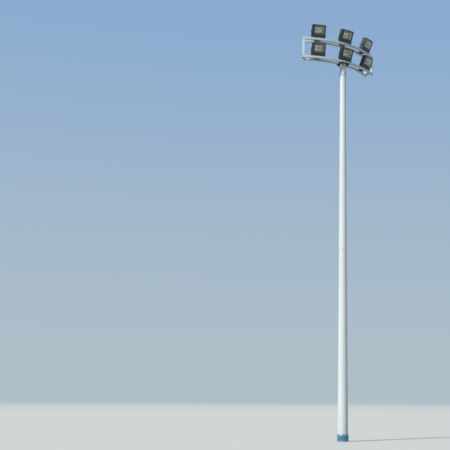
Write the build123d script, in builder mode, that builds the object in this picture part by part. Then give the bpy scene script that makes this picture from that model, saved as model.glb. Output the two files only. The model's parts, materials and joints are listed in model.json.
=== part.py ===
"""High mast floodlight tower: a tapered round mast, a curved two-level head frame and six floodlights.

Millimetres, +Z up. The origin is the centre of the base ring's underside. The front, towards which the
head frame bulges, is -Y, and +X runs along the frame's chord.
"""

from build123d import *
import os
from math import cos, degrees, hypot, radians, sin

# Base ring, with its anchor bolts inside the mast
ring_lip = 15
ring_thickness = 25
cable_hole_diameter = 120
anchor_wall_distance = 46.5
anchor_hole_diameter = 28
anchor_count = 8

# Tapered mast, in two sections that slip together
mast_height = 15000
mast_base_diameter = 405
mast_top_diameter = 250
lower_wall = 6
upper_wall = 5
lower_section_top = 8000
slip_length = 600
slip_gap = 0.4

# Base boot, a cover in two halves
boot_standoff = 22.5
boot_wall = 3
boot_shoulder_height = 225
boot_top_height = 265
boot_gap = 0.5
boot_seam = 2

# Service door, a curved cover over a hand hole in the rear of the lower section
hand_hole_width = 120
hand_hole_height = 560
hand_hole_sill = 620
hand_hole_corner = 30
door_overlap = 18
door_thickness = 3
door_gap = 0.3
door_lock_radius = 15
door_lock_height = 5
door_lock_inset = 45

# Head sleeve over the mast's top
sleeve_wall = 6
sleeve_gap = 0.4
sleeve_overlap = 310
sleeve_rise = 194
cable_exit_diameter = 40
cable_exit_drop = 84

# Saddle under the head frame
saddle_width = 380
saddle_margin = 20
saddle_thickness = 16
gusset_width = 128
gusset_height = 105
gusset_toe = 14
gusset_thickness = 12
weld_gap = 0.3

# Head frame: square tubes on arcs about a vertical axis behind the mast
frame_radius = 3300
frame_half_angle = 31
tube_size = 80
tube_wall = 5
tube_corner = 8
tube_spread = 300
level_rise = 790
end_plug_flange = 4
end_plug_depth = 25
end_plug_gap = 0.3

# Plates across the tubes
seat_width = 290
plate_thickness = 10

# Floodlights
lamp_end_distance = 635
lamp_tilt = 25
lamp_width = 570
lamp_height = 510
lamp_front = 130
lamp_rear = 104
lamp_wall = 4
lamp_corner = 30
shoulder_offset = -35
rear_width = 380
rear_height = 340
fin_count = 9
fin_pitch = 38
fin_height = 290
fin_depth = 26
fin_thickness = 4
gland_radius = 13
gland_length = 28
gland_offset = 150

# Front frame of a floodlight, and what it clamps
bezel_plate = 6
bezel_skirt = 24
bezel_wall = 4
bezel_gap = 2
window_side = 57
window_head = 43
window_sill = 125
glass_thickness = 5
glass_lap = 12
reflector_gap = 0.3
reflector_wall = 2
reflector_depth = 150
reflector_inset = 82
reflector_post_radius = 8
reflector_post_spacing = (180, 100)

# Stirrup that carries a floodlight
stirrup_bar = (60, 6)
stirrup_bend = 10
stirrup_foot_gap = 15
stirrup_side_gap = 8
stirrup_head = 34
stirrup_head_rounding = 27
pivot_radius = 8
pivot_running_gap = 0.1
pivot_face_gap = 0.3
pivot_boss_radius = 24
pivot_head_radius = 13
pivot_head_height = 10

# What follows from the sizes above
boot_radius = mast_base_diameter / 2 + boot_standoff
ring_radius = boot_radius + ring_lip
anchor_circle_radius = mast_base_diameter / 2 - lower_wall - anchor_wall_distance
saddle_depth = tube_spread + tube_size + 2 * saddle_margin
plate_depth = tube_spread + tube_size
skin_step = slip_gap + upper_wall
mast_taper = (mast_base_diameter / 2 - mast_top_diameter / 2 + skin_step) / mast_height
saddle_base = mast_height + sleeve_rise
lower_level = saddle_base + saddle_thickness + tube_size / 2
upper_level = lower_level + level_rise
front_radius = frame_radius + tube_spread / 2
rear_radius = frame_radius - tube_spread / 2
lamp_spacing_angle = frame_half_angle - degrees(lamp_end_distance / front_radius)
arc_axis = Axis((0, frame_radius, 0), (0, 0, 1))
stirrup_width, stirrup_thickness = stirrup_bar
stirrup_inner_half = lamp_width / 2 + stirrup_side_gap
stirrup_outer_half = stirrup_inner_half + stirrup_thickness
stirrup_rise = hypot(lamp_front, lamp_height / 2) + stirrup_foot_gap
pivot_rise = tube_size / 2 + plate_thickness + stirrup_thickness + stirrup_rise
body_width = lamp_width - 2 * (bezel_wall + bezel_gap)
body_height = lamp_height - 2 * (bezel_wall + bezel_gap)
body_front = lamp_front - bezel_plate
window_width = lamp_width - 2 * window_side
window_height = lamp_height - window_sill - window_head
window_rise = (window_sill - window_head) / 2
glass_width = window_width + 2 * glass_lap
glass_height = window_height + 2 * glass_lap
glass_rear = body_front - glass_thickness
reflector_front = glass_rear - reflector_gap
reflector_rear = reflector_front - reflector_depth

os.makedirs("parts", exist_ok=True)


def save(piece, name):
    """Label a finished piece and write it to its own file."""
    piece.label = name
    export_step(piece, f"parts/{name}.step")


def lower_radius(height):
    """Outer radius of the lower section's cone at a height."""
    return mast_base_diameter / 2 - mast_taper * height


def upper_radius(height):
    """Outer radius of the upper section's cone at a height."""
    return lower_radius(height) + skin_step


def outward(angle):
    """Level direction that leaves the arc's axis at an angle from the front."""
    return Vector(sin(radians(angle)), -cos(radians(angle)), 0)


def along(angle):
    """Level direction along the arc, towards larger angles."""
    return Vector(cos(radians(angle)), sin(radians(angle)), 0)


def rounded_outline(width, height, corner, inset=0, mode=Mode.ADD):
    """Rounded rectangle in the open sketch, with each side set in by the same amount."""
    RectangleRounded(width - 2 * inset, height - 2 * inset, corner - inset, mode=mode)


def tube_section():
    """Section of a square tube in the open sketch."""
    rounded_outline(tube_size, tube_size, tube_corner)
    rounded_outline(tube_size, tube_size, tube_corner, tube_wall, Mode.SUBTRACT)


def arc_point(radius, angle, height):
    """Point at a radius and an angle on the frame's arc."""
    return Vector(0, frame_radius, height) + outward(angle) * radius


# Base ring
with BuildPart() as base_ring:
    with BuildSketch():
        Circle(ring_radius)
        Circle(cable_hole_diameter / 2, mode=Mode.SUBTRACT)
        with PolarLocations(anchor_circle_radius, anchor_count):
            Circle(anchor_hole_diameter / 2, mode=Mode.SUBTRACT)
    extrude(amount=ring_thickness)
save(base_ring.part, "base_ring")

# Lower section of the mast, with its hand hole to the rear
hand_hole_middle = hand_hole_sill + hand_hole_height / 2
rear_face = Plane(origin=(0, 0, hand_hole_middle), x_dir=(-1, 0, 0), z_dir=(0, 1, 0))
with BuildPart() as mast_lower:
    with BuildSketch(Plane.XZ):
        with BuildLine():
            Polyline(
                (lower_radius(ring_thickness) - lower_wall, ring_thickness),
                (lower_radius(ring_thickness), ring_thickness),
                (lower_radius(lower_section_top), lower_section_top),
                (lower_radius(lower_section_top) - lower_wall, lower_section_top),
                close=True,
            )
        make_face()
    revolve(axis=Axis.Z)
    with BuildSketch(rear_face):
        RectangleRounded(hand_hole_width, hand_hole_height, hand_hole_corner)
    extrude(amount=mast_base_diameter, mode=Mode.SUBTRACT)
save(mast_lower.part, "mast_lower")

# Upper section, slipped over the lower one
upper_section_base = lower_section_top - slip_length
with BuildPart() as mast_upper:
    with BuildSketch(Plane.XZ):
        with BuildLine():
            Polyline(
                (upper_radius(upper_section_base) - upper_wall, upper_section_base),
                (upper_radius(upper_section_base), upper_section_base),
                (upper_radius(mast_height), mast_height),
                (upper_radius(mast_height) - upper_wall, mast_height),
                close=True,
            )
        make_face()
    revolve(axis=Axis.Z)
save(mast_upper.part, "mast_upper")

# Service door
door_low = hand_hole_sill - door_overlap
door_high = hand_hole_sill + hand_hole_height + door_overlap
with BuildPart() as service_door:
    with BuildSketch(rear_face):
        RectangleRounded(
            hand_hole_width + 2 * door_overlap,
            hand_hole_height + 2 * door_overlap,
            hand_hole_corner + door_overlap / 2,
        )
    extrude(amount=mast_base_diameter)
    for rise, mode in ((door_gap + door_thickness, Mode.INTERSECT), (door_gap, Mode.SUBTRACT)):
        with Locations((0, 0, hand_hole_middle)):
            Cone(
                lower_radius(door_low) + rise,
                lower_radius(door_high) + rise,
                door_high - door_low,
                mode=mode,
            )
    for lock_height in (door_low + door_lock_inset, door_high - door_lock_inset):
        lock_start = lower_radius(lock_height) + door_gap + door_thickness / 2
        with BuildSketch(Plane(origin=(0, lock_start, lock_height), x_dir=(-1, 0, 0), z_dir=(0, 1, 0))):
            Circle(door_lock_radius)
        extrude(amount=door_thickness / 2 + door_lock_height)
save(service_door.part, "service_door")

# Base boot
boot_collar = lower_radius(boot_top_height) + boot_gap
with BuildPart() as base_boot:
    with BuildSketch(Plane.XZ):
        with BuildLine():
            Polyline(
                (boot_radius - boot_wall, ring_thickness),
                (boot_radius, ring_thickness),
                (boot_radius, boot_shoulder_height),
                (boot_collar + boot_wall, boot_top_height),
                (boot_collar, boot_top_height),
                (boot_radius - boot_wall, boot_shoulder_height),
                close=True,
            )
        make_face()
    revolve(axis=Axis.Z)
    with BuildSketch():
        Rectangle(4 * boot_radius, boot_seam)
    extrude(amount=boot_top_height * 2, mode=Mode.SUBTRACT)
save(base_boot.part, "base_boot")

# Head sleeve, with a cable exit to the rear
sleeve_base = mast_height - sleeve_overlap
sleeve_bore = upper_radius(sleeve_base) + sleeve_gap
sleeve_outer = sleeve_bore + sleeve_wall
with BuildPart() as head_sleeve:
    with BuildSketch(Plane.XY.offset(sleeve_base)):
        Circle(sleeve_outer)
        Circle(sleeve_bore, mode=Mode.SUBTRACT)
    extrude(amount=saddle_base - sleeve_base)
    with BuildSketch(Plane(origin=(0, 0, saddle_base - cable_exit_drop), z_dir=(0, 1, 0))):
        Circle(cable_exit_diameter / 2)
    extrude(amount=sleeve_outer * 2, mode=Mode.SUBTRACT)
save(head_sleeve.part, "head_sleeve")

# Saddle plate
with BuildPart() as saddle_plate:
    with BuildSketch(Plane.XY.offset(saddle_base)):
        RectangleRounded(saddle_width, saddle_depth, tube_corner)
    extrude(amount=saddle_thickness)
save(saddle_plate.part, "saddle_plate")

# Saddle gussets, on the diagonals
gusset_root = sleeve_outer + weld_gap
with BuildPart() as saddle_gussets:
    for quarter in range(4):
        turn = 45 + 90 * quarter
        gusset_plane = Plane(
            origin=(0, 0, saddle_base),
            x_dir=(cos(radians(turn)), sin(radians(turn)), 0),
            z_dir=(sin(radians(turn)), -cos(radians(turn)), 0),
        )
        with BuildSketch(gusset_plane.offset(-gusset_thickness / 2)):
            with BuildLine():
                Polyline(
                    (gusset_root, 0),
                    (gusset_root + gusset_width, 0),
                    (gusset_root + gusset_width, -gusset_toe),
                    (gusset_root + gusset_toe, -gusset_height),
                    (gusset_root, -gusset_height),
                    close=True,
                )
            make_face()
        extrude(amount=gusset_thickness)
save(saddle_gussets.part, "saddle_gussets")


def end_plane(radius, side, height, inset):
    """Plane across a tube, set in from the frame's end, facing out past that end."""
    angle = side * frame_half_angle
    way_out = along(angle) * side
    return Plane(
        origin=arc_point(radius, angle, height) - way_out * inset,
        x_dir=outward(angle),
        z_dir=way_out,
    )


def make_beam(radius, height, end_inset):
    """Square tube bent along the frame's arc, cut square at both ends."""
    with BuildPart() as beam:
        start = Plane(
            origin=arc_point(radius, -frame_half_angle, height),
            x_dir=outward(-frame_half_angle),
            z_dir=along(-frame_half_angle),
        )
        with BuildSketch(start):
            tube_section()
        revolve(axis=arc_axis, revolution_arc=2 * frame_half_angle)
        if end_inset:
            for side in (-1, 1):
                with BuildSketch(end_plane(radius, side, height, end_inset)):
                    Rectangle(2 * tube_size, 2 * tube_size)
                extrude(amount=2 * end_inset, mode=Mode.SUBTRACT)
    return beam.part


save(make_beam(front_radius, lower_level, 0), "lower_front_beam")
save(make_beam(rear_radius, lower_level, 0), "lower_rear_beam")
save(make_beam(front_radius, upper_level, tube_size), "upper_front_beam")
save(make_beam(rear_radius, upper_level, tube_size), "upper_rear_beam")


def plate_plane(angle, height, end_inset=0):
    """Level plane on top of a level's tubes, with its X along the frame."""
    centre = arc_point(frame_radius, angle, height + tube_size / 2)
    if end_inset:
        centre -= along(angle) * (end_inset if angle > 0 else -end_inset)
    return Plane(origin=centre, x_dir=along(angle), z_dir=(0, 0, 1))


# Plates across the tubes: a seat under each floodlight, and a foot under each pair of end posts
for level_name, level_height in (("lower", lower_level), ("upper", upper_level)):
    with BuildPart() as seat_plates:
        for lamp_place in (-1, 0, 1):
            with BuildSketch(plate_plane(lamp_place * lamp_spacing_angle, level_height)):
                Rectangle(seat_width, plate_depth)
            extrude(amount=plate_thickness)
    save(seat_plates.part, f"{level_name}_seat_plates")

with BuildPart() as foot_plates:
    for side in (-1, 1):
        with BuildSketch(plate_plane(side * frame_half_angle, lower_level, tube_size / 2)):
            Rectangle(tube_size, plate_depth)
        extrude(amount=plate_thickness)
save(foot_plates.part, "foot_plates")

# End posts: a front and a rear post at each end of the frame, closed on top
post_foot = lower_level + tube_size / 2 + plate_thickness
post_top = upper_level + tube_size / 2
with BuildPart() as end_posts:
    for side in (-1, 1):
        for post_radius in (front_radius, rear_radius):
            post_centre = end_plane(post_radius, side, post_foot, tube_size / 2).origin
            post_plane = Plane(
                origin=post_centre,
                x_dir=along(side * frame_half_angle),
                z_dir=(0, 0, 1),
            )
            with BuildSketch(post_plane):
                tube_section()
            extrude(amount=post_top - post_foot)
            with BuildSketch(post_plane.offset(post_top - post_foot - tube_wall)):
                rounded_outline(tube_size, tube_size, tube_corner)
            extrude(amount=tube_wall)
save(end_posts.part, "end_posts")

# Centre post, over the mast on the rear tube
with BuildPart() as centre_post:
    with BuildSketch(Plane(origin=arc_point(rear_radius, 0, post_foot), x_dir=(1, 0, 0), z_dir=(0, 0, 1))):
        tube_section()
    extrude(amount=upper_level - tube_size / 2 - post_foot)
save(centre_post.part, "centre_post")

# End plugs of the lower tubes
with BuildPart() as end_plugs:
    for side in (-1, 1):
        for plug_radius in (front_radius, rear_radius):
            plug_plane = end_plane(plug_radius, side, lower_level, 0)
            with BuildSketch(plug_plane):
                rounded_outline(tube_size, tube_size, tube_corner)
            extrude(amount=end_plug_flange)
            with BuildSketch(plug_plane):
                rounded_outline(tube_size, tube_size, tube_corner, tube_wall + end_plug_gap)
            extrude(amount=-end_plug_depth)
save(end_plugs.part, "end_plugs")


def make_stirrup(pivot, angle):
    """Flat bar bent to a U, standing on its seat plate with its arms up the floodlight's sides."""
    arm_plane = Plane(origin=pivot, x_dir=along(angle), z_dir=outward(angle))
    foot = -stirrup_rise - stirrup_thickness
    with BuildPart() as stirrup:
        with BuildSketch(arm_plane.offset(-stirrup_width / 2)) as outline:
            with BuildLine():
                Polyline(
                    (-stirrup_outer_half, stirrup_head),
                    (-stirrup_outer_half, foot),
                    (stirrup_outer_half, foot),
                    (stirrup_outer_half, stirrup_head),
                    (stirrup_inner_half, stirrup_head),
                    (stirrup_inner_half, foot + stirrup_thickness),
                    (-stirrup_inner_half, foot + stirrup_thickness),
                    (-stirrup_inner_half, stirrup_head),
                    close=True,
                )
            make_face()
            fillet(outline.vertices().group_by(Axis.Y)[1], stirrup_bend)
            fillet(outline.vertices().group_by(Axis.Y)[0], stirrup_bend + stirrup_thickness)
        extrude(amount=stirrup_width)
        crown = stirrup.edges().filter_by(Axis(pivot, along(angle))).group_by(Axis.Z)[-1]
        fillet(crown, stirrup_head_rounding)
        with BuildSketch(Plane(origin=pivot, x_dir=outward(angle), z_dir=along(angle))):
            Circle(pivot_radius + pivot_running_gap)
        extrude(amount=stirrup_outer_half * 2, both=True, mode=Mode.SUBTRACT)
    return stirrup.part


def make_housing(face, pivot, angle):
    """Cast body open to the front, tapered to a finned back, with a pivot bolt on each side."""
    rear_wall = -lamp_rear
    with BuildPart() as housing:
        for inset, mode in ((0, Mode.ADD), (lamp_wall, Mode.SUBTRACT)):
            with BuildSketch(face.offset(shoulder_offset)):
                rounded_outline(body_width, body_height, lamp_corner, inset)
            extrude(amount=body_front - shoulder_offset, mode=mode)
            with BuildSketch(face.offset(shoulder_offset)):
                rounded_outline(body_width, body_height, lamp_corner, inset)
            with BuildSketch(face.offset(rear_wall + inset)):
                rounded_outline(rear_width, rear_height, lamp_corner, inset)
            loft(mode=mode)
        with BuildSketch(face.offset(rear_wall - fin_depth)):
            with GridLocations(fin_pitch, 0, fin_count, 1):
                Rectangle(fin_thickness, fin_height)
        extrude(amount=fin_depth + lamp_wall / 2)
        with BuildSketch(face.offset(rear_wall + lamp_wall / 2)):
            with Locations((0, window_rise)):
                with GridLocations(*reflector_post_spacing, 2, 2):
                    Circle(reflector_post_radius)
        extrude(amount=reflector_rear - rear_wall - lamp_wall / 2)
        for side in (-1, 1):
            side_plane = Plane(origin=pivot, x_dir=face.z_dir, z_dir=along(angle) * side)
            with BuildSketch(side_plane.offset(body_width / 2 - lamp_wall)):
                Circle(pivot_boss_radius)
            extrude(amount=stirrup_inner_half - pivot_face_gap - body_width / 2 + lamp_wall)
            with BuildSketch(side_plane.offset(body_width / 2)):
                Circle(pivot_radius)
            extrude(amount=stirrup_outer_half + pivot_face_gap + pivot_head_height - body_width / 2)
            with BuildSketch(side_plane.offset(stirrup_outer_half + pivot_face_gap)):
                RegularPolygon(pivot_head_radius, 6)
            extrude(amount=pivot_head_height)
        gland_start = -body_height / 2 + lamp_wall / 2
        gland_plane = Plane(
            origin=face.origin + face.x_dir * gland_offset + face.y_dir * gland_start,
            x_dir=face.x_dir,
            z_dir=-face.y_dir,
        )
        with BuildSketch(gland_plane):
            Circle(gland_radius)
        extrude(amount=gland_length)
    return housing.part


def make_bezel(face):
    """Front frame, a shallow lid over the body, with the window set high above a blank panel."""
    with BuildPart() as bezel:
        with BuildSketch(face.offset(body_front - bezel_skirt)):
            rounded_outline(lamp_width, lamp_height, lamp_corner)
        extrude(amount=bezel_skirt + bezel_plate)
        with BuildSketch(face.offset(body_front - bezel_skirt)):
            rounded_outline(lamp_width, lamp_height, lamp_corner, bezel_wall)
        extrude(amount=bezel_skirt, mode=Mode.SUBTRACT)
        with BuildSketch(face.offset(body_front)):
            with Locations((0, window_rise)):
                Rectangle(window_width, window_height)
        extrude(amount=bezel_plate, mode=Mode.SUBTRACT)
    return bezel.part


def make_glass(face):
    """Flat pane behind the front frame's window."""
    with BuildPart() as glass:
        with BuildSketch(face.offset(glass_rear)):
            with Locations((0, window_rise)):
                Rectangle(glass_width, glass_height)
        extrude(amount=glass_thickness)
    return glass.part


def make_reflector(face):
    """Sheet tray that widens towards the window, with a rim behind the glass."""
    tray_width = window_width - 2 * reflector_inset
    tray_height = window_height - 2 * reflector_inset
    with BuildPart() as reflector:
        with BuildSketch(face.offset(reflector_rear)):
            with Locations((0, window_rise)):
                Rectangle(tray_width, tray_height)
        with BuildSketch(face.offset(reflector_front)):
            with Locations((0, window_rise)):
                Rectangle(window_width, window_height)
        loft()
        with BuildSketch(face.offset(reflector_front - reflector_wall)):
            with Locations((0, window_rise)):
                Rectangle(glass_width, glass_height)
        extrude(amount=reflector_wall)
        with BuildSketch(face.offset(reflector_rear + reflector_wall)):
            with Locations((0, window_rise)):
                Rectangle(tray_width - 2 * reflector_wall, tray_height - 2 * reflector_wall)
        with BuildSketch(face.offset(reflector_front)):
            with Locations((0, window_rise)):
                Rectangle(window_width - 2 * reflector_wall, window_height - 2 * reflector_wall)
        loft(mode=Mode.SUBTRACT)
    return reflector.part


# Six floodlights, three on each level, facing out from the arc and tilted down
for level_name, level_height in (("lower", lower_level), ("upper", upper_level)):
    for place_name, lamp_place in (("left", -1), ("middle", 0), ("right", 1)):
        lamp_angle = lamp_place * lamp_spacing_angle
        lamp_pivot = arc_point(front_radius, lamp_angle, level_height + pivot_rise)
        facing = outward(lamp_angle) * cos(radians(lamp_tilt)) - Vector(0, 0, sin(radians(lamp_tilt)))
        lamp_face = Plane(origin=lamp_pivot, x_dir=along(lamp_angle), z_dir=facing)
        lamp_name = f"{level_name}_{place_name}"
        save(make_stirrup(lamp_pivot, lamp_angle), f"{lamp_name}_stirrup")
        save(make_housing(lamp_face, lamp_pivot, lamp_angle), f"{lamp_name}_housing")
        save(make_bezel(lamp_face), f"{lamp_name}_bezel")
        save(make_glass(lamp_face), f"{lamp_name}_glass")
        save(make_reflector(lamp_face), f"{lamp_name}_reflector")
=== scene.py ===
"""Finishes, small fittings, light and camera for the high mast floodlight tower.

Metres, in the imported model's frame: +Z up, the origin at the centre of the base ring's underside, and the
front, towards which the head frame bulges, at -Y.
"""

import json
import logging
import math
import random
from collections.abc import Callable, Iterable, Sequence
from dataclasses import dataclass, field
from enum import Enum
from functools import cached_property
from math import cos, pi, radians, sin
from typing import ClassVar

import bmesh
import bpy
from mathutils import Matrix, Vector

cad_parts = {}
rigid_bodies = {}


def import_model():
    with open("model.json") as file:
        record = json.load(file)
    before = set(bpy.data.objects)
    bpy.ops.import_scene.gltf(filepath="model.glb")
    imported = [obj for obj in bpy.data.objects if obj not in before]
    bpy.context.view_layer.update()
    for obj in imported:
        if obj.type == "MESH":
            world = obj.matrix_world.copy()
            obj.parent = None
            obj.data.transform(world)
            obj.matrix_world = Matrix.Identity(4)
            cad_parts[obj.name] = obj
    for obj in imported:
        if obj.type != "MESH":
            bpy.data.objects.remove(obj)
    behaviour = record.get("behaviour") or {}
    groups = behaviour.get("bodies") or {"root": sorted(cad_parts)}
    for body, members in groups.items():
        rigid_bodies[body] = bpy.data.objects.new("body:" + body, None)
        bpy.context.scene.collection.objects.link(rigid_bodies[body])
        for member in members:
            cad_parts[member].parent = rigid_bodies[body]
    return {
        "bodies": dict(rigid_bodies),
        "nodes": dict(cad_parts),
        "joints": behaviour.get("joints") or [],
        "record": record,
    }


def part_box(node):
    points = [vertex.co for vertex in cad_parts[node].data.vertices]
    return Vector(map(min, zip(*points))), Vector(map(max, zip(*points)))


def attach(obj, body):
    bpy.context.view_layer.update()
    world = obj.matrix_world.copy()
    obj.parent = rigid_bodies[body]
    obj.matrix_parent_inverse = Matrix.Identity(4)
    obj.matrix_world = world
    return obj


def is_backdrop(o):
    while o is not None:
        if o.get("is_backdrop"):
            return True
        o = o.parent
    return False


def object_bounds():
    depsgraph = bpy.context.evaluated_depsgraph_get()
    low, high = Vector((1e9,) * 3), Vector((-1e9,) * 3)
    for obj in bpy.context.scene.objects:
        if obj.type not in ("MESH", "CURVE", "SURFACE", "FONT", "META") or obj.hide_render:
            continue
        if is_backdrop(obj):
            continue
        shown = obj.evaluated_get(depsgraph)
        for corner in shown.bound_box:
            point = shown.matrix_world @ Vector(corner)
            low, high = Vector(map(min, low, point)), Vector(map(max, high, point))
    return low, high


Colour = tuple[float, float, float]
Point = tuple[float, float]
Profile = tuple[Point, ...]
Size = tuple[float, float, float]
Grain = tuple[float, float, float, float]
Radius = Callable[[float], float]
UP, REAR = Vector((0, 0, 1)), Vector((0, 1, 0))
RIGHT_ANGLE = pi / 2
SUNK = 0.0005  # How deep a fitting sits in what carries it, so that no gap shows.
MAST = "mast"
log = logging.getLogger("floodlight_tower")


class Value:
    """An output socket of a shader tree, which takes part in Python expressions."""

    def __init__(self, recipe: "Recipe", socket: bpy.types.NodeSocket) -> None:
        """Keep the socket with the recipe that it belongs to."""
        self.recipe = recipe
        self.socket = socket

    def _math(self, operation: str, *numbers: "Value | float") -> "Value":
        """Return the result of a Math node."""
        return self.recipe.node("ShaderNodeMath", {"operation": operation}, dict(enumerate(numbers)))

    def __add__(self, other: "Value | float") -> "Value":
        """Return the sum."""
        return self._math("ADD", self, other)

    def __radd__(self, other: float) -> "Value":
        """Return the sum with the number first."""
        return self._math("ADD", other, self)

    def __sub__(self, other: "Value | float") -> "Value":
        """Return the difference."""
        return self._math("SUBTRACT", self, other)

    def __rsub__(self, other: float) -> "Value":
        """Return the number less this value."""
        return self._math("SUBTRACT", other, self)

    def __mul__(self, other: "Value | float") -> "Value":
        """Return the product."""
        return self._math("MULTIPLY", self, other)

    def __rmul__(self, other: float) -> "Value":
        """Return the product with the number first."""
        return self._math("MULTIPLY", other, self)

    def most(self, other: "Value | float") -> "Value":
        """Return the larger of the two."""
        return self._math("MAXIMUM", self, other)

    def between(self, low: float, high: float) -> "Value":
        """Rise smoothly from 0 at low to 1 at high, or fall where low is the larger one."""
        limits = {"Value": self, "From Min": low, "From Max": high}
        return self.recipe.node("ShaderNodeMapRange", {"interpolation_type": "SMOOTHSTEP"}, limits)

    def other(self, output: int | str) -> "Value":
        """Return another output of the same node."""
        return Value(self.recipe, self.socket.node.outputs[output])


Given = Value | float | Sequence[float]


class Recipe:
    """A material or world tree in the making."""

    def __init__(self, tree: bpy.types.NodeTree) -> None:
        """Empty the tree, so that every node in it is made here."""
        self.tree = tree
        self.tree.nodes.clear()

    def node(
        self,
        kind: str,
        settings: dict[str, object] | None = None,
        inputs: dict[int | str, Given] | None = None,
        output: int | str = 0,
    ) -> Value:
        """Add a node, set it up and feed its sockets.

        Args:
            kind: The node's type.
            settings: Its own settings. They are set before the sockets.
            inputs: The value, number, vector or colour of each socket, by number or name.
            output: The output to return.

        Returns:
            The chosen output.
        """
        made = self.tree.nodes.new(kind)
        for name, setting in (settings or {}).items():
            setattr(made, name, setting)
        for name, given in (inputs or {}).items():
            socket = made.inputs[name]
            if isinstance(given, Value):
                self.tree.links.new(given.socket, socket)
            elif socket.type == "RGBA" and len(given) == 3:
                socket.default_value = (*given, 1.0)
            else:
                socket.default_value = given
        return Value(self, made.outputs[output] if made.outputs else None)

    @cached_property
    def spot(self) -> Value:
        """The point on the piece, in metres in its own frame."""
        return self.node("ShaderNodeTexCoord", output="Object")

    def along(self, axis: str, vector: Value) -> Value:
        """Return a vector's X, Y or Z."""
        return self.node("ShaderNodeSeparateXYZ", {}, {0: vector}, axis)

    def noise(
        self, scale: float, detail: float = 2.0, stretch: Sequence[float] = (1, 1, 1), roughness: float = 0.5
    ) -> Value:
        """Return a cloudy pattern from 0 to 1.

        Args:
            scale: Clouds per metre.
            detail: How many finer layers it has.
            stretch: A factor on the scale along each axis.
            roughness: How strong the finer layers are.

        Returns:
            The pattern.
        """
        place = self.node("ShaderNodeVectorMath", {"operation": "MULTIPLY"}, {0: self.spot, 1: stretch})
        inputs = {"Vector": place, "Scale": scale, "Detail": detail, "Roughness": roughness}
        return self.node("ShaderNodeTexNoise", {}, inputs)

    def cells(self, scale: float, feature: str, output: str) -> Value:
        """Return an output of a pattern of cells, so many to the metre."""
        inputs = {"Vector": self.spot, "Scale": scale}
        return self.node("ShaderNodeTexVoronoi", {"feature": feature}, inputs, output)

    def settled(self, scale: float, detail: float, low: float = 0.3) -> Value:
        """Return where dust has settled, in clouds on what faces up."""
        facing_up = self.along("Z", self.spot.other("Normal")).between(0.35, 0.95)
        return facing_up * self.noise(scale, detail).between(low, 0.75)

    def coats(self, base: Given, *layers: tuple[Value, Given]) -> Value:
        """Lay colours over a base colour.

        Args:
            base: The colour below.
            layers: How much of each layer shows, with its colour.

        Returns:
            The mixed colour.
        """
        for share, colour in layers:
            base = self.node("ShaderNodeMix", {"data_type": "RGBA"}, {0: share, 6: base, 7: colour}, 2)
        return base

    def relief(self, height: Value, depth: float, strength: float) -> Value:
        """Return the surface direction of a pattern that is so deep, in metres, and shows so strongly."""
        return self.node("ShaderNodeBump", {}, {"Strength": strength, "Distance": depth, "Height": height})

    def grain(self, scale: float, detail: float, depth: float, strength: float) -> Value:
        """Return the surface direction of a fine noise."""
        return self.relief(self.noise(scale, detail), depth, strength)

    def surface(self, colour: Given, roughness: Value, others: dict[str, Given]) -> None:
        """End the tree in one Principled shader.

        Args:
            colour: Its base colour.
            roughness: Its roughness.
            others: Its other inputs by name.
        """
        inputs = {"Base Color": colour, "Roughness": roughness, **others}
        shader = self.node("ShaderNodeBsdfPrincipled", {}, inputs)
        self.node("ShaderNodeOutputMaterial", {}, {"Surface": shader})


@dataclass(frozen=True)
class Finish:
    """What every finish shares: its name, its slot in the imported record, and one material made once."""

    name: ClassVar[str]
    slot: ClassVar[str]

    def __init_subclass__(cls, name: str = "", slot: str = "") -> None:
        """Keep the finish's name and slot from its class line."""
        cls.name = name
        cls.slot = slot

    def material(self) -> bpy.types.Material:
        """Make the material at its first use.

        Returns:
            The material, which is the same one each time.
        """
        found = bpy.data.materials.get(self.name)
        if found is None:
            found = bpy.data.materials.new(self.name)
            found.use_nodes = True
            self.mix(Recipe(found.node_tree))
        return found

    def mix(self, recipe: Recipe) -> None:
        """Write the finish into an empty tree. Every finish has its own."""
        raise NotImplementedError


@dataclass(frozen=True)
class MastWhite(Finish, name="mast_white_paint", slot="mast_white"):
    """White satin paint of the mast: chalking, rain streaks, dust near the ground and drips below ledges."""

    paint: Colour = (0.84, 0.885, 0.885)
    chalk: Colour = (0.79, 0.83, 0.825)
    streak: Colour = (0.60, 0.61, 0.59)
    dust: Colour = (0.50, 0.47, 0.41)
    dust_height: float = 1.7
    ledges: Profile = ((7.4, 1.1), (14.69, 0.7))

    def mix(self, recipe: Recipe) -> None:
        """Write the finish into a tree.

        Args:
            recipe: The empty tree.
        """
        height = recipe.along("Z", recipe.spot)
        clouds = recipe.noise(1.3, 3.0)
        streaks = recipe.noise(11.0, 3.0, (1, 1, 0.035)).between(0.53, 0.74)
        low = height.between(self.dust_height, 0.2)
        splashes = low * recipe.noise(9.0, 4.0, (1, 1, 0.35)).between(0.3, 0.8)
        layers = [(clouds, self.chalk), (streaks * 0.28, self.streak), (splashes * 0.42, self.dust)]
        drips = recipe.noise(34.0, 4.0, (1, 1, 0.045)).between(0.4, 0.72)
        for ledge, length in self.ledges:
            below = height.between(ledge - length, ledge) * height.between(ledge + 0.004, ledge)
            layers.append((drips * below * 0.22, self.streak))
        roughness = 0.33 + clouds * 0.1 + streaks * 0.08 + splashes * 0.2
        peel = recipe.grain(190.0, 1.0, 0.0006, 0.35)
        others = {"Normal": peel, "Coat Weight": 0.15, "Coat Roughness": 0.2}
        recipe.surface(recipe.coats(self.paint, *layers), roughness, others)


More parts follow.
